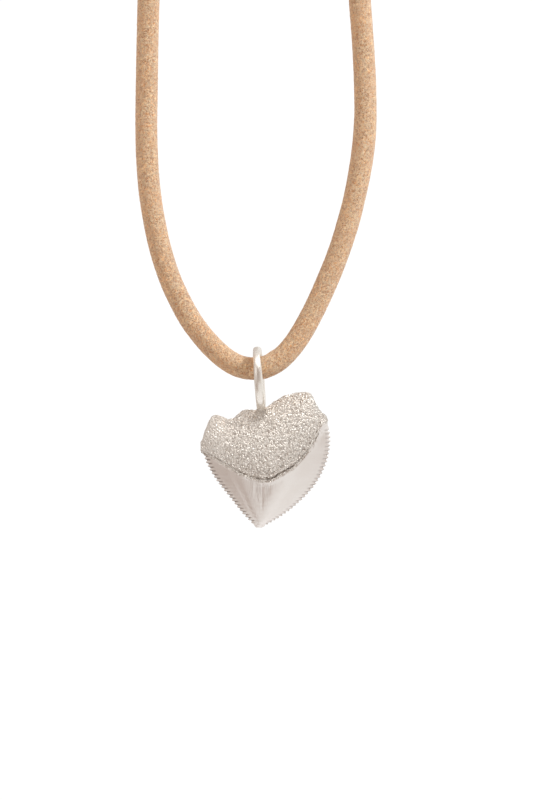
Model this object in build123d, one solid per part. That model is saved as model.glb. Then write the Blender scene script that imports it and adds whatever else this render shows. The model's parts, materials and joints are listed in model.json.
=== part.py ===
from build123d import *
import math
import os

# Shark tooth necklace: a cast silver shark tooth with a ring soldered to its root,
# hung on a thick round leather cord that closes in a plain barrel clasp.
# Millimetres. +X is to the viewer's right, +Y away from the viewer, +Z up.
# The origin is the middle of the clasp's underside, where the necklace hangs.

# Leather cord
cord_diameter = 4.0

# Barrel clasp
clasp_length = 14.0
clasp_wall = 0.75
clasp_clearance = 0.05
clasp_rounding = 0.5

# Ring round the cord, soldered to the root. Lean and yaw are degrees.
ring_wire = 1.55
ring_inner = 9.05
ring_gap = 0.45
ring_lean = 4.0
ring_yaw = -2.5
solder_bead = 1.9
solder_overlap = 0.45

# Cast tooth. The shift is to the viewer's right of the ring, the set-back is away from the viewer.
tooth_width = 24.0
tooth_height = 25.2
tooth_shift = 1.48
tooth_set_back = 0.3
crown_front = 1.9
crown_back = 1.25
crown_edge = 0.7
root_front = 3.4
root_back = 2.6
root_crest = 1.0

# Narrow band of bare metal below the root, on the front
band_height = 0.65
band_step = 0.3

# Saw teeth along the two edges of the crown. The lean carries each notch's bottom towards the tip.
notch_pitch = 0.78
notch_width = 0.68
notch_depth = 0.44
notch_lean = 0.22
# Pitches left plain at the very tip
plain_tip = 1.2

# Shares: how far the crown's three front faces bulge, of their widths, how thick its edge is at the tip,
# how far its faces stand out there at the least, of its edge, where between top and foot the root is
# thickest, and how far out its foot stands at the back.
left_flank_bulge = 0.05
middle_bulge = 0.02
right_flank_bulge = 0.035
edge_at_tip = 0.55
least_stand = 1.2
swell_level = 0.58
back_foot_share = 0.75

# The cord's route, seen from the front: x and z from the middle of the clasp's axis.
# It leaves the left cup, goes down, round the fold at the ring, and up to the right cup.
cord_route = [
    (-1.5, 0.0),
    (-12.6, 0.0),
    (-21.1, -8.7),
    (-19.9, -31.5),
    (-17.5, -63.5),
    (-17.5, -96.0),
    (-19.0, -126.5),
    (-19.45, -146.0),
    (-19.65, -162.5),
    (-18.6, -173.5),
    (-16.05, -184.3),
    (-12.0, -192.8),
    (-7.9, -198.1),
    (-3.95, -201.5),
    (-0.6, -202.6),
    (2.8, -202.2),
    (5.7, -200.5),
    (9.1, -196.25),
    (13.0, -188.6),
    (16.8, -179.2),
    (19.5, -169.0),
    (21.1, -158.6),
    (20.9, -147.0),
    (19.5, -128.0),
    (16.8, -96.0),
    (17.2, -63.5),
    (19.8, -31.5),
    (21.1, -8.7),
    (12.6, 0.0),
    (1.5, 0.0),
]

# Crown, one row for each level section, from its hidden top to its tip.
# down: share of tooth_height below the top of the root.
# left, right, ridge_left, ridge_right: shares of tooth_width from the tooth's middle.
# front, back: shares of crown_front and crown_back.
crown_rows = [
    # down, left, right, ridge_left, ridge_right, front, back
    (0.210, -0.385, 0.450, -0.170, 0.140, 1.00, 1.00),
    (0.254, -0.440, 0.480, -0.175, 0.140, 1.00, 1.00),
    (0.342, -0.480, 0.500, -0.185, 0.138, 1.00, 1.00),
    (0.445, -0.486, 0.491, -0.190, 0.136, 1.00, 1.00),
    (0.577, -0.435, 0.448, -0.190, 0.132, 0.97, 0.95),
    (0.688, -0.358, 0.381, -0.168, 0.112, 0.88, 0.86),
    (0.798, -0.265, 0.277, -0.136, 0.072, 0.74, 0.74),
    (0.886, -0.193, 0.168, -0.110, 0.020, 0.58, 0.58),
    (0.958, -0.120, 0.050, -0.076, -0.020, 0.42, 0.42),
    (1.000, -0.078, -0.030, -0.060, -0.045, 0.30, 0.30),
]

# Root, one row for each upright section, from the left lobe to the right lobe.
# across: share of tooth_width from the tooth's middle.
# top, foot: shares of tooth_height below the top of the root.
# front, step: shares of root_front at the swell and at the foot. back: share of root_back.
root_rows = [
    # across, top, foot, front, step, back
    (-0.504, 0.368, 0.424, 0.26, 0.23, 0.26),
    (-0.462, 0.262, 0.444, 0.48, 0.37, 0.50),
    (-0.400, 0.172, 0.478, 0.66, 0.47, 0.68),
    (-0.338, 0.184, 0.514, 0.74, 0.55, 0.76),
    (-0.262, 0.198, 0.558, 0.82, 0.64, 0.84),
    (-0.192, 0.146, 0.596, 0.90, 0.68, 0.92),
    (-0.108, 0.132, 0.624, 0.97, 0.71, 0.98),
    (-0.030, 0.134, 0.646, 1.00, 0.72, 1.00),
    (0.040, 0.090, 0.640, 1.00, 0.72, 1.00),
    (0.130, 0.036, 0.592, 0.97, 0.70, 0.96),
    (0.215, 0.012, 0.546, 0.92, 0.67, 0.90),
    (0.290, 0.000, 0.466, 0.84, 0.63, 0.82),
    (0.346, 0.018, 0.404, 0.75, 0.58, 0.74),
    (0.400, 0.113, 0.316, 0.62, 0.49, 0.62),
    (0.446, 0.163, 0.262, 0.43, 0.36, 0.44),
    (0.476, 0.206, 0.244, 0.26, 0.25, 0.28),
]
# Share of tooth_height from the root's top down to where the ring stands on it
ring_seat = 0.134
# Shares of tooth_height from the root's top down to the first saw tooth of each edge
left_saw_start = 0.445
right_saw_start = 0.262

os.makedirs("parts", exist_ok=True)

# Sizes that follow from those above
clasp_bore = cord_diameter + 2 * clasp_clearance
clasp_radius = clasp_bore / 2 + clasp_wall
cup_floor = abs(cord_route[0][0])
ring_major = (ring_inner + ring_wire) / 2
ring_drop = ring_inner / 2 - cord_diameter / 2 - ring_gap
ring_bottom = ring_drop + ring_major + ring_wire / 2
ahead = Vector(0, -1, 0)
behind = Vector(0, 1, 0)
upward = Vector(0, 0, 1)


def route_point(index):
    x, z = cord_route[index]
    return Vector(x, 0, z + clasp_radius)


def lowest_middle():
    points = [route_point(index) for index in range(len(cord_route))]
    return min(((start + end) * 0.5 for start, end in zip(points, points[1:])), key=lambda middle: middle.Z)


# The ring hangs on the middle of the cord's lowest run
hinge = lowest_middle()


def cord_path():
    points = [route_point(index) for index in range(len(cord_route))]
    radii = []
    for before, corner, after in zip(points, points[1:], points[2:]):
        half_turn = math.radians((corner - before).get_angle(after - corner)) / 2
        shorter = min((corner - before).length, (after - corner).length)
        radii.append(0.45 * shorter / math.tan(half_turn))
    print("cord radii:", [round(radius, 1) for radius in radii])
    return FilletPolyline(*points, radius=radii)


def leather_cord():
    path = cord_path()
    section = Plane(origin=path @ 0, z_dir=path % 0) * Circle(cord_diameter / 2)
    tube = sweep(section, path=path)
    ideal = math.pi * cord_diameter**2 / 4 * path.length
    print("cord length:", round(path.length, 2), "volume over section times length:", round(tube.volume / ideal, 5))
    return tube


def along_clasp(x):
    return Plane(origin=(x, 0, clasp_radius), x_dir=(0, 1, 0), z_dir=(1, 0, 0))


def clasp():
    barrel = along_clasp(0) * Cylinder(clasp_radius, clasp_length)
    barrel = fillet(barrel.edges().filter_by(GeomType.CIRCLE), min(clasp_rounding, 0.7 * clasp_wall))
    depth = clasp_length / 2 - cup_floor
    for side in (-1, 1):
        barrel -= along_clasp(side * (cup_floor + depth / 2)) * Cylinder(clasp_bore / 2, depth)
    return barrel


def tooth_point(across, down, out=0.0):
    x = hinge.X + tooth_shift + across * tooth_width
    z = hinge.Z - ring_bottom + solder_overlap + (ring_seat - down) * tooth_height
    return Vector(x, tooth_set_back + out, z)


def bulged(start, end, share, away):
    middle = (start + end) * 0.5 + away * ((end - start).length * share)
    return ThreePointArc(start, middle, end)


def crown_section(row):
    down, left, right, ridge_left, ridge_right, front, back = row
    edge = crown_edge / 2 * (edge_at_tip + (1 - edge_at_tip) * front)
    ridge = -max(front * crown_front, least_stand * edge)
    back_left = tooth_point(left, down, edge)
    front_left = tooth_point(left, down, -edge)
    left_ridge = tooth_point(ridge_left, down, ridge)
    right_ridge = tooth_point(ridge_right, down, ridge)
    front_right = tooth_point(right, down, -edge)
    back_right = tooth_point(right, down, edge)
    back_middle = tooth_point((left + right) / 2, down, max(back * crown_back, least_stand * edge))
    return Face(Wire([
        Line(back_left, front_left),
        bulged(front_left, left_ridge, left_flank_bulge, ahead),
        bulged(left_ridge, right_ridge, middle_bulge, ahead),
        bulged(right_ridge, front_right, right_flank_bulge, ahead),
        Line(front_right, back_right),
        ThreePointArc(back_right, back_middle, back_left),
    ]))


def root_section(row):
    across, top, foot, front, step, back = row
    swell = top + swell_level * (foot - top)
    crest = min(root_crest, front * root_front) / 2
    front_foot = tooth_point(across, foot, -step * root_front)
    front_swell = tooth_point(across, swell, -front * root_front)
    front_crest = tooth_point(across, top, -crest)
    back_crest = tooth_point(across, top, crest)
    back_swell = tooth_point(across, swell, back * root_back)
    back_foot = tooth_point(across, foot, back_foot_share * back * root_back)
    return Face(Wire([
        Line(back_foot, front_foot),
        TangentArc(front_swell, front_foot, tangent=-upward),
        TangentArc(front_swell, front_crest, tangent=upward),
        Line(front_crest, back_crest),
        TangentArc(back_swell, back_crest, tangent=upward),
        TangentArc(back_swell, back_foot, tangent=-upward),
    ]))


def band_section(row):
    across, top, foot, front, step, back = row
    low = foot + band_height / tooth_height
    high = (top + foot) / 2
    face = -(step * root_front - band_step)
    corners = [(high, 0), (low, 0), (low, face), (high, face)]
    return Face(Wire(Polyline(*[tooth_point(across, down, out) for down, out in corners], close=True)))


def saw_notch(at, along, outward):
    half = along * (notch_width / 2)
    rim = outward * notch_depth / 2
    deep = along * notch_lean - outward * notch_depth
    through = behind * (crown_edge + notch_depth)
    corners = [at + offset - through for offset in (rim - half, rim + half, deep)]
    return extrude(Face(Wire(Polyline(*corners, close=True))), amount=2 * through.length, dir=behind)


def saw_cuts(column, outward_side, start):
    edge = Spline(*[tooth_point(row[column], row[0]) for row in crown_rows])
    first_height = tooth_point(0, start).Z
    cuts = []
    for index in range(int(edge.length / notch_pitch)):
        place = 1 - (index + plain_tip) * notch_pitch / edge.length
        if place > 0 and edge.position_at(place).Z < first_height:
            along = edge.tangent_at(place)
            outward = Vector(-along.Z, 0, along.X) * outward_side
            cuts.append(saw_notch(edge.position_at(place), along, outward))
    return cuts


def ring():
    turn = Rotation(0, -ring_lean, ring_yaw)
    middle = Vector(0, 0, -ring_drop)
    hoop = Pos(middle) * Rotation(0, 90, 0) * Torus(ring_major, ring_wire / 2)
    seat = Vector(0, 0, -ring_bottom + solder_overlap)
    bead = Pos(seat) * Sphere(solder_bead / 2)
    return Pos(hinge) * turn * (hoop + bead)


def tooth_pendant():
    crown = loft([crown_section(row) for row in crown_rows])
    crown -= saw_cuts(1, -1, left_saw_start)
    crown -= saw_cuts(2, 1, right_saw_start)
    root = loft([root_section(row) for row in root_rows])
    band = loft([band_section(row) for row in root_rows])
    return crown + root + band + ring()


def main():
    pieces = {"leather_cord": leather_cord(), "clasp": clasp(), "tooth_pendant": tooth_pendant()}
    for name, piece in pieces.items():
        print(name, "valid", piece.is_valid, "solids", len(piece.solids()), "volume", round(piece.volume, 1))
        export_step(piece, f"parts/{name}.step")


main()
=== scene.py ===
import json
import math
import random

import bmesh
import bpy
from mathutils import Matrix, Vector, noise
from mathutils.bvhtree import BVHTree


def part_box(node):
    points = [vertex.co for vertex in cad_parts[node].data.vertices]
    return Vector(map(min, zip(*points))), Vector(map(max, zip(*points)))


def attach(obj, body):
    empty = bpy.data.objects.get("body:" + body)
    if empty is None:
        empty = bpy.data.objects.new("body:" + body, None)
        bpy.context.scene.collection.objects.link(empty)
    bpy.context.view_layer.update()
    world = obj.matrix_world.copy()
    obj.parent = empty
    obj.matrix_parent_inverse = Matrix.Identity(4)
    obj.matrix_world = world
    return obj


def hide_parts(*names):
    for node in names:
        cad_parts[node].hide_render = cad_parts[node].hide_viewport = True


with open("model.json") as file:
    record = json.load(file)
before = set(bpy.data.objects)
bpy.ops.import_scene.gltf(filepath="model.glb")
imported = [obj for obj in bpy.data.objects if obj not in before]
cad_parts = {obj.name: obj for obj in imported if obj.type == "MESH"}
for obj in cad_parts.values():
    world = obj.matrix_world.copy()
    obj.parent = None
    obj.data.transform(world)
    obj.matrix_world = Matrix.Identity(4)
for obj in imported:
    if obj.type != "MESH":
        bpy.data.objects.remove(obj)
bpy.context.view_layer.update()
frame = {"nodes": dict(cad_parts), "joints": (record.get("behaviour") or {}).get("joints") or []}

# A cast silver shark tooth on a ring, hung on a thick round leather cord with a barrel clasp.
# Metres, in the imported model's frame: +X to the viewer's right, +Y away from the viewer, +Z up.
mm = 0.001
sameSpot = 0.001 * mm  # vertices that are closer are one
hinge = Vector(frame["joints"][0]["pos_m"])  # middle of the cord, where the ring hangs

photo = {
    "width": 533,
    "height": 800,
    "pixel": 0.1852 * mm,  # size on the object of one pixel
    "hingePixel": (258.0, 368.3),
    "distance": 0.8,  # from the camera to the object
    "sensor": 36.0,  # on the image's long side, in camera millimetres
}

studio = {
    "aim": (258, 420),  # pixel that the lamps point at
    "floorHeight": -1.3,
    "floorRadius": 1.2,
    "paper": ((0.86, 0.86, 0.86, 1), (0.9, 0.9, 0.9, 1)),
    "paperGrain": 0.05,  # in a millimetre
    "backdrop": 1.05,  # brightness of the plain background behind the object
    "ambient": 0.33,
    # soft panels round the object: azimuth from the camera to the right, elevation, and brightness,
    # below zero for the dark flag in front of the camera
    "panels": (
        ((-200, 200), (55, 95), 0.42),
        ((-70, 120), (52, 95), 0.55),
        ((5, 115), (46, 92), 0.50),
        ((-14, 14), (-9, 42), -0.28),
        ((-200, 200), (-12, 55), 0.30),
        ((-8, 200), (-50, -12), 0.52),
        ((-200, -65), (-50, -12), 0.35),
        ((-65, -8), (-50, -12), 0.13),
        ((65, 200), (-12, 55), 0.25),
        ((0, 25), (-14, 8), 0.12),
    ),
    "panelEdge": 8.0,  # degrees on each side of its rim in which a panel's light fades
    "shadeColor": (1.0, 0.80, 0.69, 1.0),
    "lightColor": (1.0, 0.985, 0.965, 1.0),
    "shadeRange": (0.3, 0.9),  # brightness between which the color goes from shade to light
}

# place from the tooth, side of the panel, power in watts, color, and what the lamp is for: it lights the
# leather or glints in the silver
lamps = {
    "key": ((0.63, -0.33, 0.55), 0.24, 6.6, (0.80, 0.88, 1.0), "leather"),
    "edge": ((-0.40, 0.0, 0.62), 0.30, 1.1, (1.0, 0.92, 0.84), "leather"),
    "bounce": ((-0.50, 0.0, -0.48), 0.30, 0.9, (1.0, 0.72, 0.58), "leather"),
    "leftGlint": ((-0.33, -0.47, 0.28), 0.25, 0.14, (1, 1, 1), "silver"),
    "glint": ((0.17, -0.36, 0.69), 0.20, 1.1, (1, 1, 1), "silver"),
}


def placeOf(pixel):
    x = hinge.x + (pixel[0] - photo["hingePixel"][0]) * photo["pixel"]
    z = hinge.z - (pixel[1] - photo["hingePixel"][1]) * photo["pixel"]
    return Vector((x, 0, z))


def columnOf(pixel):
    return placeOf((pixel, 0)).x


def rowOf(pixel):
    return placeOf((0, pixel)).z


def addObject(name, data):
    made = bpy.data.objects.new(name, data)
    bpy.context.scene.collection.objects.link(made)
    return made


def keepPiece(name, mesh, body, slot, *replaced):
    piece = addObject(name, mesh)
    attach(piece, body)
    if replaced:
        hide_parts(*replaced)
    return piece


def meshOf(bm, name, smooth=True):
    mesh = bpy.data.meshes.new(name)
    bm.to_mesh(mesh)
    bm.free()
    mesh.polygons.foreach_set("use_smooth", [smooth] * len(mesh.polygons))
    return mesh


def easing(value, start, end):
    share = min(max((value - start) / (end - start), 0.0), 1.0)
    return share * share * (3 - 2 * share)


def bell(away):
    return math.exp(-away * away / 2)


def between(value, points):
    # height of a broken line, given as (x, y) points in order, at x = value
    for (x0, y0), (x1, y1) in zip(points, points[1:]):
        if value <= x1:
            return y0 + (y1 - y0) * min(max((value - x0) / (x1 - x0), 0.0), 1.0)
    return points[-1][1]


# Nodes

def feed(tree, socket, value):
    if isinstance(value, bpy.types.NodeSocket):
        tree.links.new(value, socket)
    else:
        socket.default_value = value


def addNode(tree, kind, inputs=None, **settings):
    node = tree.nodes.new(kind)
    for name, value in settings.items():
        setattr(node, name, value)
    for name, value in (inputs or {}).items():
        feed(tree, node.inputs[name], value)
    return node


def reckon(tree, operation, *values):
    return addNode(tree, "ShaderNodeMath", dict(enumerate(values)), operation=operation).outputs[0]


def ranged(tree, value, low, high, start=0.0, end=1.0):
    node = addNode(tree, "ShaderNodeMapRange", {
        "Value": value, "From Min": low, "From Max": high, "To Min": start, "To Max": end,
    }, interpolation_type="SMOOTHSTEP")
    return node.outputs["Result"]


def mixed(tree, share, first, second):
    return addNode(tree, "ShaderNodeMix", {0: share, 6: first, 7: second}, data_type="RGBA").outputs[2]


def noiseOf(tree, vector, scale, detail=3.0, roughness=0.55, distortion=0.0):
    node = addNode(tree, "ShaderNodeTexNoise", {
        "Vector": vector, "Scale": scale, "Detail": detail,
        "Roughness": roughness, "Distortion": distortion,
    })
    return node.outputs["Fac"]


def thinLines(tree, pattern, width, strength=1.0):
    # lines where a pattern passes through its middle value
    away = reckon(tree, "ABSOLUTE", reckon(tree, "SUBTRACT", pattern, 0.5))
    return ranged(tree, away, width, 0.0, 0.0, strength)


def millimetres(tree, stretch=(1.0, 1.0, 1.0)):
    # object coordinates in millimetres
    place = addNode(tree, "ShaderNodeTexCoord").outputs["Object"]
    mapping = addNode(tree, "ShaderNodeMapping", {"Vector": place})
    mapping.inputs["Scale"].default_value = [share / mm for share in stretch]
    return mapping.outputs["Vector"]


def addBump(tree, shader, height, depth, strength=1.0):
    bump = addNode(tree, "ShaderNodeBump", {"Strength": strength, "Distance": depth, "Height": height})
    tree.links.new(bump.outputs["Normal"], shader.inputs["Normal"])


def newMaterial(name):
    material = bpy.data.materials.new(name)
    material.use_nodes = True
    tree = material.node_tree
    return material, tree, tree.nodes["Principled BSDF"]


# Camera, light and floor

def makeCamera():
    data = bpy.data.cameras.new("camera")
    data.sensor_width = photo["sensor"]
    data.lens = photo["sensor"] * photo["distance"] / (photo["height"] * photo["pixel"])
    data.clip_start = 0.01
    camera = addObject("camera", data)
    middle = placeOf((photo["width"] / 2, photo["height"] / 2))
    camera.location = middle - Vector((0, photo["distance"], 0))
    camera.rotation_euler = (math.radians(90), 0, 0)
    bpy.context.scene.camera = camera
    bpy.context.scene.view_settings.view_transform = "Standard"


def makeWorld():
    world = bpy.data.worlds.new("studio")
    world.use_nodes = True
    tree = world.node_tree
    tree.nodes.clear()
    direction = addNode(tree, "ShaderNodeTexCoord").outputs["Generated"]
    axes = addNode(tree, "ShaderNodeSeparateXYZ", {"Vector": direction}).outputs
    azimuth = reckon(tree, "ARCTAN2", axes["X"], reckon(tree, "MULTIPLY", axes["Y"], -1.0))
    azimuth = reckon(tree, "DEGREES", azimuth)
    elevation = reckon(tree, "DEGREES", reckon(tree, "ARCSINE", axes["Z"]))
    edge = studio["panelEdge"]
    level = studio["ambient"]
    for (left, right), (low, high), amount in studio["panels"]:
        share = ranged(tree, azimuth, left - edge, left + edge, 0.0, amount)
        share = reckon(tree, "MULTIPLY", share, ranged(tree, azimuth, right + edge, right - edge))
        share = reckon(tree, "MULTIPLY", share, ranged(tree, elevation, low - edge, low + edge))
        share = reckon(tree, "MULTIPLY", share, ranged(tree, elevation, high + edge, high - edge))
        level = reckon(tree, "ADD", level, share)
    light = ranged(tree, level, *studio["shadeRange"])
    color = mixed(tree, light, studio["shadeColor"], studio["lightColor"])
    lit = addNode(tree, "ShaderNodeBackground", {"Color": color, "Strength": level})
    plain = addNode(tree, "ShaderNodeBackground", {"Color": (1, 1, 1, 1), "Strength": studio["backdrop"]})
    seen = addNode(tree, "ShaderNodeLightPath").outputs["Is Camera Ray"]
    blend = addNode(tree, "ShaderNodeMixShader", {0: seen, 1: lit.outputs[0], 2: plain.outputs[0]})
    addNode(tree, "ShaderNodeOutputWorld", {"Surface": blend.outputs[0]})
    bpy.context.scene.world = world


def makeLamps():
    target = placeOf(studio["aim"])
    for name, (place, size, power, color, lit) in lamps.items():
        data = bpy.data.lights.new(name, "AREA")
        data.shape = "SQUARE"
        data.size = size
        data.energy = power
        data.color = color
        lamp = addObject(name, data)
        lamp.location = target + Vector(place)
        lamp.rotation_euler = (-Vector(place)).to_track_quat("-Z", "Y").to_euler()
        lamp.visible_diffuse = lit == "leather"
        lamp.visible_glossy = lit == "silver"


def makeFloor():
    bm = bmesh.new()
    bmesh.ops.create_circle(bm, cap_ends=True, radius=studio["floorRadius"], segments=96)
    bmesh.ops.translate(bm, verts=bm.verts, vec=(0, 0, studio["floorHeight"]))
    floor = addObject("floor", meshOf(bm, "floor", smooth=False))
    material, tree, shader = newMaterial("palePaper")
    grain = noiseOf(tree, millimetres(tree), studio["paperGrain"])
    tree.links.new(mixed(tree, grain, *studio["paper"]), shader.inputs["Base Color"])
    shader.inputs["Roughness"].default_value = 0.9
    floor.data.materials.append(material)


# Leather cord

cord = {
    "diameter": 4.0 * mm,
    "unevenness": 0.035 * mm,
    "lumpLength": 5.0 * mm,
    "fineLumps": 8,  # how many times shorter the fine lumps are
    "lineSteps": 40,  # between two points of the route
    "stepsAlong": 1600,
    "stepsAround": 44,
    # where the leather bulges beside the ring: pixel, rise and width
    "bulges": (
        ((271.0, 352.5), 0.16 * mm, 0.55 * mm),
        ((266.5, 379.0), 0.10 * mm, 0.5 * mm),
        ((250.0, 368.0), 0.07 * mm, 3.0 * mm),
        ((364.0, 145.0), 0.08 * mm, 6.0 * mm),
    ),
    "nap": 0.045 * mm,  # height of the fibres that cover the cord
    # loose fibres that stand off it: radius at root and tip, and how far they lean along the cord and round
    # it, as shares of how far out they point
    "fibreSeed": 11,
    "fibreCount": 300,
    "fibreLength": (0.15 * mm, 0.55 * mm),
    "fibreRadius": (0.025 * mm, 0.01 * mm),
    "fibreLean": 1.2,
    "fibreSweep": 0.8,
    "palest": (1.0, 0.68, 0.38, 1),
    "tan": (0.88, 0.452, 0.205, 1),
    "brown": (0.52, 0.195, 0.07, 1),
    "thread": (1.0, 0.82, 0.58, 1),
    "speck": (0.42, 0.14, 0.045, 1),
    "sheen": (1.0, 0.88, 0.80, 1),
    # noise patterns of the skin: scale in a millimetre, detail, roughness and distortion
    "patterns": {
        "fine": (3.6, 2.0, 0.6, 0.0),
        "blotches": (2.9, 2.0, 0.6, 1.2),
        "patches": (0.28, 2.0, 0.55, 0.0),
        "specks": (2.3, 1.0, 0.5, 0.4),
        "curls": (1.1, 2.0, 0.6, 2.2),
        "wisps": (1.5, 1.0, 0.5, 1.6),
    },
    # where a pattern starts and ends to show its color, and how strongly it does
    "fine": (0.38, 0.55),
    "stain": (0.48, 0.60, 0.0, 0.85),
    "worn": (0.42, 0.66, 0.0, 0.40),
    "marks": (0.66, 0.76, 0.0, 0.60),
    "curlWidth": 0.045,
    "wispWidth": 0.05,
    "threadShare": 0.70,
    "bump": 0.11 * mm,
    "threadRise": 0.9,
    "stainDip": 0.8,
    # the cord's middle line: x and z from the middle of the clasp's axis, in millimetres
    "route": (
        (-1.5, 0.0),
        (-12.6, 0.0),
        (-21.1, -8.7),
        (-19.9, -31.5),
        (-17.5, -63.5),
        (-17.5, -96.0),
        (-19.0, -126.5),
        (-19.45, -146.0),
        (-19.65, -162.5),
        (-18.6, -173.5),
        (-16.05, -184.3),
        (-12.0, -192.8),
        (-7.9, -198.1),
        (-3.95, -201.5),
        (-0.6, -202.6),
        (2.8, -202.2),
        (5.7, -200.5),
        (9.1, -196.25),
        (13.0, -188.6),
        (16.8, -179.2),
        (19.5, -169.0),
        (21.1, -158.6),
        (20.9, -147.0),
        (19.5, -128.0),
        (16.8, -96.0),
        (17.2, -63.5),
        (19.8, -31.5),
        (21.1, -8.7),
        (12.6, 0.0),
        (1.5, 0.0),
    ),
}


def cordLine():
    low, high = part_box("clasp")
    axisHeight = (low.z + high.z) / 2
    curve = bpy.data.curves.new("cordRoute", "CURVE")
    curve.dimensions = "3D"
    spline = curve.splines.new("NURBS")
    spline.points.add(len(cord["route"]) - 1)
    for point, (x, z) in zip(spline.points, cord["route"]):
        point.co = (x * mm, 0, axisHeight + z * mm, 1)
    spline.order_u = 3
    spline.use_endpoint_u = True
    spline.resolution_u = cord["lineSteps"]
    holder = addObject("cordRoute", curve)
    mesh = bpy.data.meshes.new_from_object(holder)
    points = [vertex.co.copy() for vertex in mesh.vertices]
    bpy.data.objects.remove(holder)
    bpy.data.meshes.remove(mesh)
    return points


def evenly(points, count):
    # places and directions at equal distances along a line of points, and its length
    distances = [0.0]
    for start, end in zip(points, points[1:]):
        distances.append(distances[-1] + (end - start).length)
    places = []
    index = 0
    for step in range(count + 1):
        distance = distances[-1] * step / count
        while index < len(points) - 2 and distances[index + 1] < distance:
            index += 1
        run = distances[index + 1] - distances[index]
        share = (distance - distances[index]) / run if run else 0.0
        places.append(points[index].lerp(points[index + 1], share))
    directions = []
    for step in range(count + 1):
        before, after = places[max(step - 1, 0)], places[min(step + 1, count)]
        directions.append((after - before).normalized())
    return places, directions, distances[-1]


def leatherMaterial():
    material, tree, shader = newMaterial("tanLeather")
    place = millimetres(tree)
    skin = {name: noiseOf(tree, place, *values) for name, values in cord["patterns"].items()}
    color = mixed(tree, ranged(tree, skin["fine"], *cord["fine"]), cord["tan"], cord["palest"])
    stain = ranged(tree, skin["blotches"], *cord["stain"])
    color = mixed(tree, stain, color, cord["brown"])
    color = mixed(tree, ranged(tree, skin["patches"], *cord["worn"]), color, cord["tan"])
    curls = thinLines(tree, skin["curls"], cord["curlWidth"], cord["threadShare"])
    wisps = thinLines(tree, skin["wisps"], cord["wispWidth"], cord["threadShare"])
    threads = reckon(tree, "MAXIMUM", curls, wisps)
    color = mixed(tree, threads, color, cord["thread"])
    color = mixed(tree, ranged(tree, skin["specks"], *cord["marks"]), color, cord["speck"])
    tree.links.new(color, shader.inputs["Base Color"])
    relief = reckon(tree, "ADD", skin["fine"], reckon(tree, "MULTIPLY", threads, cord["threadRise"]))
    relief = reckon(tree, "SUBTRACT", relief, reckon(tree, "MULTIPLY", stain, cord["stainDip"]))
    addBump(tree, shader, relief, cord["bump"])
    shader.inputs["Roughness"].default_value = 0.7
    shader.inputs["Specular IOR Level"].default_value = 0.22
    shader.inputs["Sheen Tint"].default_value = cord["sheen"]
    shader.inputs["Sheen Weight"].default_value = 0.55
    shader.inputs["Sheen Roughness"].default_value = 0.45
    return material


def outOfCord(along, around):
    # square to the cord's direction, at an angle round it
    across = Vector((0, 1, 0)).cross(along)
    return Vector((0, 1, 0)) * math.cos(around) + across * math.sin(around)


def looseFibres(places, directions):
    # short ends of fibre that stand off the skin, with their roots in it
    draw = random.Random(cord["fibreSeed"])
    lean, sweep = cord["fibreLean"], cord["fibreSweep"]
    thick, thin = cord["fibreRadius"]
    bm = bmesh.new()
    for _ in range(cord["fibreCount"]):
        step = draw.randrange(len(places))
        along = directions[step]
        outward = outOfCord(along, draw.uniform(0, math.tau))
        lie = outward + along * draw.uniform(-lean, lean)
        lie += along.cross(outward) * draw.uniform(-sweep, sweep)
        lie.normalize()
        length = draw.uniform(*cord["fibreLength"])
        root = places[step] + outward * (cord["diameter"] / 2)
        turn = lie.to_track_quat("Z", "X").to_matrix().to_4x4()
        bmesh.ops.create_cone(bm, cap_ends=True, segments=4, radius1=thick, radius2=thin, depth=length,
                              matrix=Matrix.Translation(root + lie * length / 2) @ turn)
    return meshOf(bm, "looseFibres")


def makeCord():
    points = cordLine()
    places, directions, length = evenly(points, cord["stepsAlong"])
    bulges = [(placeOf(pixel), rise, width) for pixel, rise, width in cord["bulges"]]
    bm = bmesh.new()
    bm.loops.layers.uv.new("UVMap")
    bmesh.ops.create_grid(bm, x_segments=cord["stepsAlong"], y_segments=cord["stepsAround"], size=1,
                          calc_uvs=True)
    for vertex in bm.verts:
        step = round((vertex.co.x + 1) / 2 * cord["stepsAlong"])
        outward = outOfCord(directions[step], math.pi * vertex.co.y)
        place = places[step] + outward * (cord["diameter"] / 2)
        rise = cord["nap"] + cord["unevenness"] * noise.noise(place / cord["lumpLength"])
        rise += cord["unevenness"] * noise.noise(place * cord["fineLumps"] / cord["lumpLength"])
        for middle, height, width in bulges:
            rise += height * bell((place - middle).length / width)
        vertex.co = place + outward * rise
    bmesh.ops.remove_doubles(bm, verts=bm.verts, dist=sameSpot)
    bmesh.ops.holes_fill(bm, edges=[edge for edge in bm.edges if edge.is_boundary], sides=0)
    bmesh.ops.recalc_face_normals(bm, faces=bm.faces)
    fibres = looseFibres(places, directions)
    bm.from_mesh(fibres)
    bpy.data.meshes.remove(fibres)
    piece = keepPiece("leather_cord_loop", meshOf(bm, "leatherCord"), "cord_loop", "leather", "leather_cord")
    piece.data.materials.append(leatherMaterial())
    print("leather cord", round(length, 4), "m,", len(piece.data.polygons), "faces")


# Barrel clasp

clasp = {
    "cupFloor": 1.5 * mm,
    "bore": 2.05 * mm,
    "lip": 0.12 * mm,
    "chamfer": 3,  # of the barrel's ends, in lips
    "seam": 0.10 * mm,
    "grooves": (4.6 * mm, 5.4 * mm),
    "grooveDepth": 0.14 * mm,
    "grooveWidth": 0.28 * mm,
    "rounding": 0.07 * mm,
    "sharp": math.radians(25),  # edges that are rounded turn by more than this
    "sides": 96,
    "color": (0.93, 0.90, 0.86, 1),
    "shade": (0.86, 0.82, 0.77, 1),
    "turning": (9.0, 0.6, 0.6),  # scale of the turned lines in a millimetre, along and across
    "patches": 0.5,
    "roughness": (0.24, 0.42),
    "bump": 0.01 * mm,
    "bumpStrength": 0.3,
}


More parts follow.
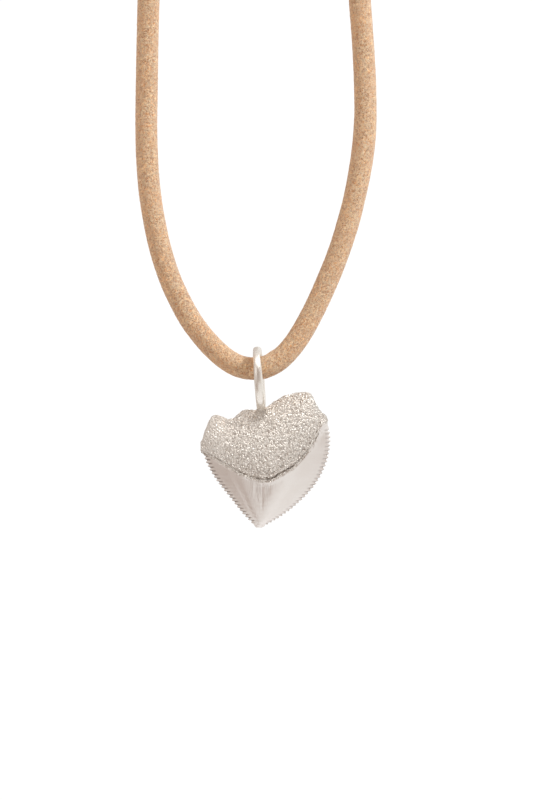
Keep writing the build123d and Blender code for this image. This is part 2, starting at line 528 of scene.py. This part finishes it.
def claspMaterial():
    material, tree, shader = newMaterial("satinSilver")
    turned = noiseOf(tree, millimetres(tree, clasp["turning"]), 1.0, 4.0, 0.6)
    patches = noiseOf(tree, millimetres(tree), clasp["patches"])
    tree.links.new(mixed(tree, patches, clasp["shade"], clasp["color"]), shader.inputs["Base Color"])
    tree.links.new(ranged(tree, turned, 0.3, 0.7, *clasp["roughness"]), shader.inputs["Roughness"])
    addBump(tree, shader, turned, clasp["bump"], clasp["bumpStrength"])
    shader.inputs["Metallic"].default_value = 1.0
    return material


def makeClasp():
    low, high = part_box("clasp")
    half, radius = (high.x - low.x) / 2, (high.z - low.z) / 2
    middle = (low + high) / 2
    lip, chamfer = clasp["lip"], clasp["chamfer"] * clasp["lip"]
    profile = [(0, radius - clasp["seam"]), (clasp["seam"], radius)]
    for place in clasp["grooves"]:
        width = clasp["grooveWidth"] / 2
        profile += [(place - width, radius), (place, radius - clasp["grooveDepth"]), (place + width, radius)]
    profile += [(half - chamfer, radius), (half, radius - chamfer), (half, clasp["bore"] + lip),
                (half - lip, clasp["bore"]), (clasp["cupFloor"], clasp["bore"]), (clasp["cupFloor"], 0)]
    bm = bmesh.new()
    ends = [bm.verts.new((x, 0, height)) for x, height in profile]
    for start, end in zip(ends, ends[1:]):
        bm.edges.new((start, end))
    bmesh.ops.spin(bm, geom=bm.verts[:] + bm.edges[:], cent=(0, 0, 0), axis=(1, 0, 0), angle=math.tau,
                   steps=clasp["sides"], use_merge=True)
    bmesh.ops.mirror(bm, geom=bm.verts[:] + bm.edges[:] + bm.faces[:], axis="X", merge_dist=sameSpot)
    bmesh.ops.remove_doubles(bm, verts=bm.verts, dist=sameSpot)
    bmesh.ops.recalc_face_normals(bm, faces=bm.faces)
    sharp = [edge for edge in bm.edges if edge.calc_face_angle(0) > clasp["sharp"]]
    bmesh.ops.bevel(bm, geom=sharp, offset=clasp["rounding"], offset_type="OFFSET", affect="EDGES",
                    segments=2, profile=0.5, material=-1, clamp_overlap=True)
    bmesh.ops.translate(bm, verts=bm.verts, vec=middle)
    piece = keepPiece("barrel_clasp", meshOf(bm, "barrelClasp"), "cord_loop", "clasp_silver", "clasp")
    piece.data.materials.append(claspMaterial())
    print("barrel clasp", len(piece.data.polygons), "faces")


# Cast tooth with its ring

ring = {
    "wire": 1.58 * mm,
    "squareness": 2.8,  # exponent of the wire's section, 2 for a circle
    "inner": 9.05 * mm,
    "drop": 2.075 * mm,  # of the ring's middle below the cord's
    "lean": math.radians(4.0),
    "yaw": math.radians(-1.9),
    "shift": 0.11 * mm,  # to the right of the hinge
    "reach": 0.3 * mm,  # off the wire, within which the tooth's skin is the ring's
    "smoothing": 12,
    "blend": 0.15 * mm,  # height over the root in which the wire runs into the solder
}

tooth = {
    "merge": 0.0005 * mm,
    "voxel": 0.124 * mm,
    "width": 24.0 * mm,
    "height": 25.2 * mm,
    "middle": (1.48 * mm, 0.3 * mm),  # x and y from the hinge
    "ringSeat": 0.134,  # share of the height from the root's top to the ring's foot
    "ringBottom": 7.7 * mm,  # from the hinge down to the ring's foot
    # lower edge of the root: shares of the width from the middle, and of the height from the top
    "foot": (
        (-0.504, 0.424), (-0.462, 0.444), (-0.400, 0.478), (-0.338, 0.514), (-0.262, 0.558), (-0.192, 0.596),
        (-0.108, 0.624), (-0.030, 0.646), (0.040, 0.640), (0.130, 0.592), (0.215, 0.546), (0.290, 0.466),
        (0.346, 0.400), (0.388, 0.335), (0.410, 0.270), (0.430, 0.226), (0.476, 0.202),
    ),
    "footBlur": 0.1 * mm,  # on each side of that edge, where the crown's fullness fades
    "band": 0.65 * mm,
    "bandBlur": 0.2 * mm,  # on each side of the band's lower edge, where root turns into crown
    "shadeReach": 5.0 * mm,  # above the root's lower edge, over which painted shade darkens the root towards that edge
    "creaseDepth": 0.34 * mm,
    "creaseWidth": 0.11 * mm,
    "creaseChange": 1.2,  # how much the crease's depth varies from lump to lump
    # the root's lip just above the crease: its rise, and its height and width in crease widths
    "lip": (0.16 * mm, 3, 2),
    # how marked the crease is, in its depth and in its tarnish and painted shadow: x pixel and share
    "creaseMarks": (
        (201, 0.10), (206, 0.26), (210, 0.30), (216, 0.24), (222, 0.30), (228, 0.10), (235, 0.15),
        (243, 0.25), (250, 0.12), (257, 0.20), (261, 0.60), (265, 0.45), (270, 0.80), (290, 1.00),
        (294, 0.40), (301, 0.22), (304, 0.75), (310, 0.65), (313, 0.0),
    ),
    # solder beads at the ring's foot: pixel, radius and rise
    "beads": (
        ((268.0, 412.5), 0.50 * mm, 0.24 * mm),
        ((273.0, 409.5), 0.45 * mm, 0.15 * mm),
    ),
    "beadReach": 4,  # radii from its middle to where a bead ends
    "beadHighlightWidth": 5,  # how wide its polish and painted highlight are, 2 for as wide as its rise
    "grainSize": 0.30 * mm,
    "grainDepth": 0.155 * mm,
    "grainLevel": 0.3,
    "pitSize": 0.8,  # scale of the pits between the grains
    "lumpSize": 1.1 * mm,
    "lumpDepth": 0.10 * mm,
    "calmLobe": (245, 212),  # x pixels between which the root grows calmer to the left
    "calming": 0.35,  # share of the grains' depth that is lost there
    # softening of the crown's faces: passes, from how far below the root, and how far off the middle plane
    "smoothing": 70,
    "smoothBelow": 0.25 * mm,
    "smoothOff": 0.45 * mm,
    # saw teeth, each with a steep under side, carried in over the crown's faces
    "sawPitch": 0.78 * mm,
    "sawSpan": (0.2, 1.02),  # shares of the height, between which the edges are searched for them
    "sawLevels": 16,  # in a pitch
    "sawNear": 6,  # levels on each side of a tip over which none stands out more
    "sawProud": 0.03 * mm,
    "sawGap": (1.35, 2),  # pitches between two tips, between which a tip is missing
    "sawReach": (0.70 * mm, 1.15 * mm),
    "sawRim": 0.1 * mm,
    "sawDepth": 0.20 * mm,
    "sawBite": (0.20 * mm, 0.7 * mm),  # how much deeper they cut into the outline, and how far in from it
    "sawUnder": 0.30,  # share of the pitch that the steep side takes
    "sawShadowStrength": {-1: 1.0, 1: 0.5},  # how dark the painted shadows under the notches of the left and right edge are, darker on the shaded left
    # two ridges from the root to the tip, with a valley between: pixels of their ends
    "leftRidge": ((238.0, 470.0), (257.0, 521.0)),
    "rightRidge": ((284.0, 474.0), (262.0, 521.0)),
    # how far the ridges and the rim stand before the middle plane, with flat faces between them: y pixel
    "stand": (
        (425, 2.90 * mm), (440, 2.80 * mm), (450, 2.72 * mm), (465, 2.56 * mm), (475, 2.41 * mm),
        (490, 2.08 * mm), (505, 1.70 * mm), (512, 1.46 * mm), (517, 1.26 * mm), (521, 1.06 * mm),
        (525, 0.75 * mm),
    ),
    "rimStand": 0.35 * mm,
    "rimOver": 0.05,  # share by which the flat faces run on past the rim
    "flatStart": (430, 456),  # y pixels between which the flat faces fade in
    "flatRidge": (1.0, 0.6),  # shares of the way from rim to ridge, between which they fade in
    "flatBand": 0.7,  # share of the band in which they fade out
    "flatFacing": (0.3, 0.6),  # how squarely skin faces the viewer for the flat faces
    "facing": (0.3, 0.7),  # and for the other cuts in the crown
    "fullness": 0.3,  # how much more the crown's front rises from the middle plane
    "valleyDepth": 0.08 * mm,
    "valleyFade": (0.3, 1.0),  # share of the way down, as in the next two
    "streakFade": (0.25, 0.9),
    "grooveFade": (0.35, 0.95),
    "streakDepth": 0.03 * mm,
    "streakSize": (0.28 * mm, 4 * mm),
    # furrows: x pixel, top and bottom pixel, depth
    "furrows": (
        (262.0, 476.0, 514.0, 0.06 * mm),
        (269.6, 474.0, 497.0, 0.05 * mm),
        (281.0, 471.0, 485.0, 0.04 * mm),
        (255.5, 476.0, 500.0, 0.02 * mm),
    ),
    "furrowWidth": 0.16 * mm,
    "furrowReach": 3,  # widths from its middle to where a furrow ends
    "furrowFade": 0.4,  # share of its length over which its lower end fades
    # soft zones beside the left ridge and along the root's edge, from an x pixel to the right
    "ridgeZone": 0.8 * mm,
    "seamZone": 1.1 * mm,
    "seamStart": 309,
    "zoneSmoothing": 14,
    "rootColor": (0.99, 0.955, 0.90, 1),
    "crownColor": (0.93, 0.89, 0.86, 1),
    "ringColor": (0.95, 0.91, 0.85, 1),
    "dullColor": (0.78, 0.70, 0.63, 1),
    "dullness": 0.12,
    # patterns: scales in a millimetre, and from left to right, front to back and down where there are three
    "grains": 2.8,
    "grainGaps": (0.43, 0.76),
    "waves": (2.4, 0.4),  # scale and reach, that bend the grains
    "patches": 0.45,
    "brushing": (4.5, 4.5, 0.45),
    "grooves": (2.2, 1.0, 0.12),
    "grooveWidth": 0.05,
    # the tarnish's color, which also paints shade and shadows, and how much of it lies on the root and in
    # its lines
    "tarnishAndShade": (0.31, 0.245, 0.205, 1),
    "rootTarnish": 0.47,
    "calmTarnish": 0.55,  # share of the root's that is left on its calm lobe
    "highlightTarnish": 0.4,  # and on the beads, lighter there as polish and as a painted highlight
    "lowShade": 0.12,
    "sawShadow": 0.85,
    "creaseTarnishAndShadow": 0.60,
    "grooveTarnish": 0.34,
    "satin": (0.30, 0.38),
    "rootDull": 0.07,  # added to the roughness
    "beadGloss": 0.09,  # taken from it, as on the ring
    "ringGloss": 0.06,
    "bump": 0.22 * mm,
    "satinBump": (0.03, 0.11),  # on the crown's right and left flank
    "grooveBump": 0.10,
}

# what is kept at each point of the skin, for its shape, its finish and its painted shade, shadows and
# highlight
layerNames = ("root", "ring", "crease", "wear", "streaks", "saw", "turns", "polishAndHighlight", "low", "calm")


def toothPlace(across, down):
    x = hinge.x + tooth["middle"][0] + across * tooth["width"]
    z = hinge.z - tooth["ringBottom"] + (tooth["ringSeat"] - down) * tooth["height"]
    return Vector((x, tooth["middle"][1], z))


def remeshed():
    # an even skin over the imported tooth, in place of its long triangles
    bm = bmesh.new()
    bm.from_mesh(frame["nodes"]["tooth_pendant"].data)
    bmesh.ops.remove_doubles(bm, verts=bm.verts, dist=tooth["merge"])
    mesh = meshOf(bm, "castTooth")
    holder = addObject("castTooth", mesh)
    modifier = holder.modifiers.new("skin", "REMESH")
    modifier.mode = "VOXEL"
    modifier.voxel_size = tooth["voxel"]
    made = bpy.data.meshes.new_from_object(holder.evaluated_get(bpy.context.evaluated_depsgraph_get()))
    bpy.data.objects.remove(holder)
    bpy.data.meshes.remove(mesh)
    return made


def toTorus(point):
    # nearest point on the ring's wire, and how far above that skin the point is
    turn = Matrix.Rotation(-ring["lean"], 4, "Y") @ Matrix.Rotation(ring["yaw"], 4, "Z")
    middle = hinge + Vector((ring["shift"], 0, 0))
    here = turn.inverted() @ (point - middle) + Vector((0, 0, ring["drop"]))
    spoke = Vector((0, here.y, here.z)).normalized()
    core = spoke * (ring["inner"] + ring["wire"]) / 2
    away = (here - core).normalized()
    square = ring["squareness"]
    reach = ring["wire"] / 2 * (abs(away.x) ** square + abs(away.dot(spoke)) ** square) ** (-1 / square)
    nearest = core + away * reach
    return middle + turn @ (nearest - Vector((0, 0, ring["drop"]))), (here - core).length - reach


def sawProfile(tree, side):
    # the outline's reach on one side, level by level, smoothed over its saw teeth, with their tips' heights
    step = tooth["sawPitch"] / tooth["sawLevels"]
    half, near = tooth["sawLevels"] // 2, tooth["sawNear"]
    top, bottom = [toothPlace(0, down).z for down in tooth["sawSpan"]]
    reach = []
    levels = int((top - bottom) / step)
    for level in range(levels):
        start = Vector((hinge.x + side * tooth["width"], tooth["middle"][1], top - level * step))
        hit = tree.ray_cast(start, Vector((-side, 0, 0)), tooth["width"] * 2)[0]
        reach.append(side * hit.x if hit else (reach[-1] if reach else 0.0))
    smooth = []
    for level in range(levels):
        window = reach[max(level - half, 0):level + half + 1]
        smooth.append(sum(window) / len(window))
    proud = [outer - line for outer, line in zip(reach, smooth)]
    tips = []
    for level in range(near, levels - near):
        if proud[level] > tooth["sawProud"] and proud[level] == max(proud[level - near:level + near + 1]):
            tips.append(top - level * step)
    shortest, longest = [share * tooth["sawPitch"] for share in tooth["sawGap"]]
    evened = tips[:1]
    for tip in tips[1:]:
        gap = evened[-1] - tip
        if shortest < gap < longest:
            evened.append(evened[-1] - gap / 2)
        evened.append(tip)
    return top, step, smooth, evened


def onSaw(profile, x, z, side):
    # how deep into the notch under the nearest tooth above this height, the count of teeth down to it
    # with the share of the last one, and how far in from the edge
    top, step, smooth, tips = profile
    level = min(max((top - z) / step, 0), len(smooth) - 2)
    index = int(level)
    line = smooth[index] + (smooth[index + 1] - smooth[index]) * (level - index)
    inward = line - side * x
    below = next((number for number, tip in enumerate(tips) if tip < z), len(tips))
    if below == 0 or below == len(tips):
        return 0.0, None, inward
    gap = tips[below - 1] - tips[below]
    if gap > tooth["sawGap"][1] * tooth["sawPitch"]:
        return 0.0, None, inward
    phase = (tips[below - 1] - z) / gap
    under = tooth["sawUnder"]
    notch = easing(phase, 0.0, under) * (1 - max(phase - under, 0) / (1 - under))
    return notch, below + phase, inward


def toothGuides(bm):
    # what the dictionary gives in pixels and shares, as places on the tooth
    foot = [toothPlace(across, down) for across, down in tooth["foot"]]
    skin = BVHTree.FromBMesh(bm)
    return {
        "foot": [(place.x, place.z) for place in foot],
        "footEnd": foot[-1].x,
        "marks": [(columnOf(x), share) for x, share in tooth["creaseMarks"]],
        "beads": [(placeOf(pixel), radius, rise) for pixel, radius, rise in tooth["beads"]],
        "calm": [columnOf(x) for x in tooth["calmLobe"]],
        "leftRidge": [placeOf(pixel) for pixel in tooth["leftRidge"]],
        "rightRidge": [placeOf(pixel) for pixel in tooth["rightRidge"]],
        "stand": [(-rowOf(y), depth) for y, depth in tooth["stand"]],
        "flatStart": [rowOf(y) for y in tooth["flatStart"]],
        "furrows": [(columnOf(x), rowOf(top), rowOf(bottom), depth)
                    for x, top, bottom, depth in tooth["furrows"]],
        "seamStart": columnOf(tooth["seamStart"]),
        "saws": {side: sawProfile(skin, side) for side in (-1, 1)},
    }


def layRing(bm, layers):
    # the ring, evened out and laid on its round wire
    onRing = layers["ring"]
    seat = hinge.z - tooth["ringBottom"]
    wire = [vertex for vertex in bm.verts if vertex.co.z > seat and toTorus(vertex.co)[1] < ring["reach"]]
    for vertex in wire:
        vertex[onRing] = easing(vertex.co.z, seat, seat + ring["blend"])
    free = [vertex for vertex in wire if vertex[onRing] > 0.5]
    for _ in range(ring["smoothing"]):
        bmesh.ops.smooth_vert(bm, verts=free, factor=0.5, use_axis_x=True, use_axis_y=True, use_axis_z=True)
    for vertex in wire:
        vertex.co = vertex.co.lerp(toTorus(vertex.co)[0], vertex[onRing])


def markRoot(bm, layers, guides):
    # the root's share of each vertex. Gives back the vertices on the crown's faces.
    faces = []
    for vertex in bm.verts:
        point, onRing = vertex.co, vertex[layers["ring"]]
        line = between(point.x, guides["foot"])
        low = line - tooth["band"]
        inRoot = point.x < guides["footEnd"] + tooth["bandBlur"]
        if inRoot:
            share = easing(point.z, low - tooth["bandBlur"], low + tooth["bandBlur"])
            vertex[layers["root"]] = (1 - onRing) * share
        onCrown = (point.z < line - tooth["smoothBelow"] or not inRoot) and not onRing
        if onCrown and abs(point.y - tooth["middle"][1]) > tooth["smoothOff"]:
            faces.append(vertex)
    return faces


def smoothDepth(bm, verts, passes):
    for _ in range(passes):
        bmesh.ops.smooth_vert(bm, verts=verts, factor=0.5, use_axis_x=False, use_axis_y=True,
                              use_axis_z=False)


def spotOf(vertex, guides):
    # where a vertex is: its height over the root's lower edge, its share of the way down the ridges, and
    # the ridges' places at its height
    point = vertex.co.copy()
    leftTop, leftTip = guides["leftRidge"]
    rightTop, rightTip = guides["rightRidge"]
    down = (leftTop.z - point.z) / (leftTop.z - leftTip.z)
    return {
        "point": point,
        "normal": vertex.normal.copy(),
        "over": point.z - between(point.x, guides["foot"]),
        "down": down,
        "left": leftTop.x + (leftTip.x - leftTop.x) * down,
        "right": rightTop.x + (rightTip.x - rightTop.x) * down,
    }


def roughenRoot(move, vertex, spot, layers, guides):
    # grains, lumps and beads, and the crease with its lip
    root = vertex[layers["root"]]
    if not root:
        return
    point, normal, over = spot["point"], spot["normal"], spot["over"]
    lump = noise.noise(point / tooth["lumpSize"])
    grain = noise.noise(point / tooth["grainSize"]) + tooth["grainLevel"]
    grain -= noise.voronoi(point * tooth["pitSize"] / tooth["grainSize"])[0][0]
    calm = easing(point.x, *guides["calm"])
    depth = tooth["grainDepth"] * grain * (1 - tooth["calming"] * calm)
    move += normal * root * (depth + tooth["lumpDepth"] * lump)
    vertex[layers["calm"]] = calm
    # painted shade: the root darkens towards its lower edge by the crease
    vertex[layers["low"]] = root * easing(over, tooth["shadeReach"], 0)
    if normal.y >= 0:
        return
    for middle, radius, rise in guides["beads"]:
        away = math.hypot(point.x - middle.x, point.z - middle.z) / radius
        if away < tooth["beadReach"]:
            move += normal * root * rise * bell(away)
            polishAndHighlight = math.exp(-away * away / tooth["beadHighlightWidth"])
            vertex[layers["polishAndHighlight"]] = max(vertex[layers["polishAndHighlight"]], polishAndHighlight)
    if point.x < guides["footEnd"]:
        width = tooth["creaseWidth"]
        lipRise, lipHeight, lipWidth = tooth["lip"]
        marked = between(point.x, guides["marks"]) * (1 + tooth["creaseChange"] * lump)
        # the crease's mark: its depth, tarnish in the groove and a painted shadow under the root's overhang
        vertex[layers["crease"]] = marked * bell(over / width)
        crease = tooth["creaseDepth"] * vertex[layers["crease"]]
        lip = lipRise * bell((over - lipHeight * width) / (lipWidth * width))
        move += Vector((0, crease - lip, 0)) * -normal.y


def flattenFront(move, vertex, spot, layers, guides):
    # a fuller front for the crown, with flat faces from the rim to the ridges
    point, over, facing = spot["point"], spot["over"], abs(spot["normal"].y)
    plane = tooth["middle"][1]
    belowFoot = 1 - easing(over, -tooth["footBlur"], tooth["footBlur"])
    rise = tooth["fullness"] * (point.y - plane) * belowFoot * easing(facing, *tooth["facing"])
    flat = 0.0
    side = -1 if point.x < spot["left"] else 1
    beside = side * (point.x - (spot["left"] if side < 0 else spot["right"]))
    if beside > 0 and (over < 0 or point.x > guides["footEnd"]):
        inward = onSaw(guides["saws"][side], point.x, point.z, side)[2]
        share = inward / (inward + beside)
        ridgeStand = between(-point.z, guides["stand"]) - tooth["rimStand"]
        stand = tooth["rimStand"] + ridgeStand * max(share, -tooth["rimOver"])
        flat = plane - stand - point.y - rise
        if point.x < guides["footEnd"]:
            flat *= 1 - easing(over, -tooth["flatBand"] * tooth["band"], 0)
        onFace = easing(facing, *tooth["flatFacing"]) * easing(share, *tooth["flatRidge"])
        flat *= onFace * (1 - vertex[layers["ring"]])
        flat *= easing(point.z, *guides["flatStart"])
    move.y += rise + flat


def valleyDepth(vertex, spot, layers):
    # the shallow valley between the ridges, with its streaks
    point, left, right, down = spot["point"], spot["left"], spot["right"], spot["down"]
    share = (point.x - left) / (right - left)
    middling = math.sin(math.pi * share)
    vertex[layers["streaks"]] = middling * (1 - easing(down, *tooth["grooveFade"]))
    depth = tooth["valleyDepth"] * middling ** 2 * (1 - easing(down, *tooth["valleyFade"]))
    across, along = tooth["streakSize"]
    streak = noise.noise(Vector((point.x / across, 0, point.z / along)))
    return depth + tooth["streakDepth"] * streak * middling * (1 - easing(down, *tooth["streakFade"]))


def furrowDepth(point, guides):
    depth = 0.0
    for x, top, bottom, deepest in guides["furrows"]:
        away = (point.x - x) / tooth["furrowWidth"]
        if abs(away) < tooth["furrowReach"]:
            fade = easing(point.z, bottom, bottom + tooth["furrowFade"] * (top - bottom))
            depth += deepest * fade * bell(away)
    return depth


def cutCrown(move, vertex, spot, layers, guides):
    # saw teeth, valley, streaks and furrows
    crown = (1 - vertex[layers["root"]]) * (1 - vertex[layers["ring"]])
    if not crown:
        return
    point, left, right = spot["point"], spot["left"], spot["right"]
    side = 1 if point.x > hinge.x + tooth["middle"][0] else -1
    notch, turns, inward = onSaw(guides["saws"][side], point.x, point.z, side)
    bite, biteReach = tooth["sawBite"]
    move.x -= side * bite * notch * crown * (1 - easing(inward, 0.0, biteReach))
    if turns is not None:
        vertex[layers["turns"]] = turns
        # strength of the painted shadow under the saw teeth here
        vertex[layers["saw"]] = crown * (1 - easing(inward, *tooth["sawReach"])) * tooth["sawShadowStrength"][side]
    facing = abs(spot["normal"].y)
    if facing > tooth["facing"][0]:
        front = spot["normal"].y < 0
        vertex[layers["wear"]] = 1 - easing(point.x, left, right)
        depth = tooth["sawDepth"] * notch * (1 - easing(inward, tooth["sawRim"], tooth["sawReach"][1]))
        if front and left < point.x < right:
            depth += valleyDepth(vertex, spot, layers)
        if front:
            depth += furrowDepth(point, guides)
        move += Vector((0, 1 if front else -1, 0)) * depth * crown * easing(facing, *tooth["facing"])


def inSoftZone(spot, guides):
    point, over = spot["point"], spot["over"]
    if over < -tooth["band"] and abs(point.x - spot["left"]) < tooth["ridgeZone"]:
        return spot["normal"].y < 0
    onSeam = guides["seamStart"] < point.x < guides["footEnd"]
    onSeam = onSeam and abs(over + tooth["band"]) < tooth["seamZone"]
    return onSeam and spot["normal"].y < -tooth["facing"][0]


def shapeTooth(mesh):
    bm = bmesh.new()
    bm.from_mesh(mesh)
    guides = toothGuides(bm)
    layers = {name: bm.verts.layers.float.new(name) for name in layerNames}
    layRing(bm, layers)
    smoothDepth(bm, markRoot(bm, layers, guides), tooth["smoothing"])
    bm.normal_update()
    moves = []
    soft = []
    for vertex in bm.verts:
        spot = spotOf(vertex, guides)
        move = Vector()  # each step adds its own to it
        roughenRoot(move, vertex, spot, layers, guides)
        if spot["normal"].y < 0:
            flattenFront(move, vertex, spot, layers, guides)
        cutCrown(move, vertex, spot, layers, guides)
        moves.append(move)
        if inSoftZone(spot, guides):
            soft.append(vertex)
    for vertex, move in zip(bm.verts, moves):
        vertex.co += move
    smoothDepth(bm, soft, tooth["zoneSmoothing"])
    bm.normal_update()
    return meshOf(bm, "castTooth")


def warped(tree, place, scale, reach):
    # a place that soft waves push about, by up to half the reach
    waves = addNode(tree, "ShaderNodeTexNoise", {"Vector": place, "Scale": scale, "Detail": 1.0})
    push = addNode(tree, "ShaderNodeVectorMath", {0: waves.outputs["Color"], 1: (0.5, 0.5, 0.5)},
                   operation="SUBTRACT")
    push = addNode(tree, "ShaderNodeVectorMath", {0: push.outputs[0], "Scale": reach}, operation="SCALE")
    return addNode(tree, "ShaderNodeVectorMath", {0: place, 1: push.outputs[0]}, operation="ADD").outputs[0]


def castMaterial():
    material, tree, shader = newMaterial("castSilver")
    zone = {name: addNode(tree, "ShaderNodeAttribute", attribute_name=name).outputs["Fac"]
            for name in layerNames}
    # painted shadow on the steep under side of each saw tooth's notch
    phase = reckon(tree, "FRACT", zone["turns"])
    under = reckon(tree, "MULTIPLY", ranged(tree, phase, 0.0, 0.10), ranged(tree, phase, 0.56, 0.40))
    notchShadows = reckon(tree, "MULTIPLY", zone["saw"], under)
    place = millimetres(tree)
    patches = noiseOf(tree, place, tooth["patches"])
    grains = addNode(tree, "ShaderNodeTexVoronoi", {
        "Vector": warped(tree, place, *tooth["waves"]), "Scale": tooth["grains"],
    })
    gap = grains.outputs["Distance"]
    brushed = noiseOf(tree, millimetres(tree, tooth["brushing"]), 1.0, 3.0, 0.6)
    lines = noiseOf(tree, millimetres(tree, tooth["grooves"]), 1.0, 2.0, 0.6)
    grooves = thinLines(tree, lines, tooth["grooveWidth"])
    grooves = reckon(tree, "MULTIPLY", grooves, zone["streaks"])

    # tarnish between the grains and painted shade low on the root, less on its calm lobe and the beads, then
    # tarnish and painted shadow in the saw notches and the crease, and tarnish in the grooves
    tarnishAndShade = ranged(tree, gap, *tooth["grainGaps"], 0.0, tooth["rootTarnish"])
    tarnishAndShade = reckon(tree, "MULTIPLY", tarnishAndShade, zone["root"])
    calmed = ranged(tree, zone["calm"], 0.0, 1.0, 1.0, tooth["calmTarnish"])
    tarnishAndShade = reckon(tree, "MULTIPLY", tarnishAndShade, calmed)
    tarnishAndShade = reckon(tree, "ADD", tarnishAndShade, reckon(tree, "MULTIPLY", zone["low"], tooth["lowShade"]))
    # less tarnish on the beads: polished solder, and a painted highlight
    highlighted = ranged(tree, zone["polishAndHighlight"], 0.0, 1.0, 1.0, tooth["highlightTarnish"])
    tarnishAndShade = reckon(tree, "MULTIPLY", tarnishAndShade, highlighted)
    for mark, amount in ((notchShadows, tooth["sawShadow"]), (zone["crease"], tooth["creaseTarnishAndShadow"]),
                         (grooves, tooth["grooveTarnish"])):
        tarnishAndShade = reckon(tree, "MAXIMUM", tarnishAndShade, reckon(tree, "MULTIPLY", mark, amount))

    color = mixed(tree, zone["root"], tooth["crownColor"], tooth["rootColor"])
    color = mixed(tree, tarnishAndShade, color, tooth["tarnishAndShade"])
    color = mixed(tree, zone["ring"], color, tooth["ringColor"])
    color = mixed(tree, ranged(tree, patches, 0.4, 0.7, 0.0, tooth["dullness"]), color, tooth["dullColor"])
    tree.links.new(color, shader.inputs["Base Color"])

    rough = ranged(tree, brushed, 0.3, 0.7, *tooth["satin"])
    for mark, amount in ((zone["root"], tooth["rootDull"]), (zone["polishAndHighlight"], -tooth["beadGloss"]),
                         (zone["ring"], -tooth["ringGloss"])):
        rough = reckon(tree, "ADD", rough, reckon(tree, "MULTIPLY", mark, amount))
    tree.links.new(rough, shader.inputs["Roughness"])

    height = reckon(tree, "MULTIPLY", gap, reckon(tree, "MULTIPLY", zone["root"], -1.0))
    satinDepth = reckon(tree, "MULTIPLY", brushed, ranged(tree, zone["wear"], 0.0, 1.0, *tooth["satinBump"]))
    height = reckon(tree, "ADD", height, satinDepth)
    height = reckon(tree, "SUBTRACT", height, reckon(tree, "MULTIPLY", grooves, tooth["grooveBump"]))
    addBump(tree, shader, height, tooth["bump"])
    shader.inputs["Metallic"].default_value = 1.0
    return material


def makeTooth():
    skin = remeshed()
    print("tooth skin", len(skin.polygons), "faces")
    mesh = shapeTooth(skin)
    bpy.data.meshes.remove(skin)
    piece = keepPiece("cast_tooth", mesh, "pendant", "cast_silver", "tooth_pendant")
    piece.data.materials.append(castMaterial())
    print("tooth shaped", len(mesh.vertices), "vertices")


makeCamera()
makeWorld()
makeLamps()
makeFloor()
print("studio ready")
makeCord()
makeClasp()
makeTooth()
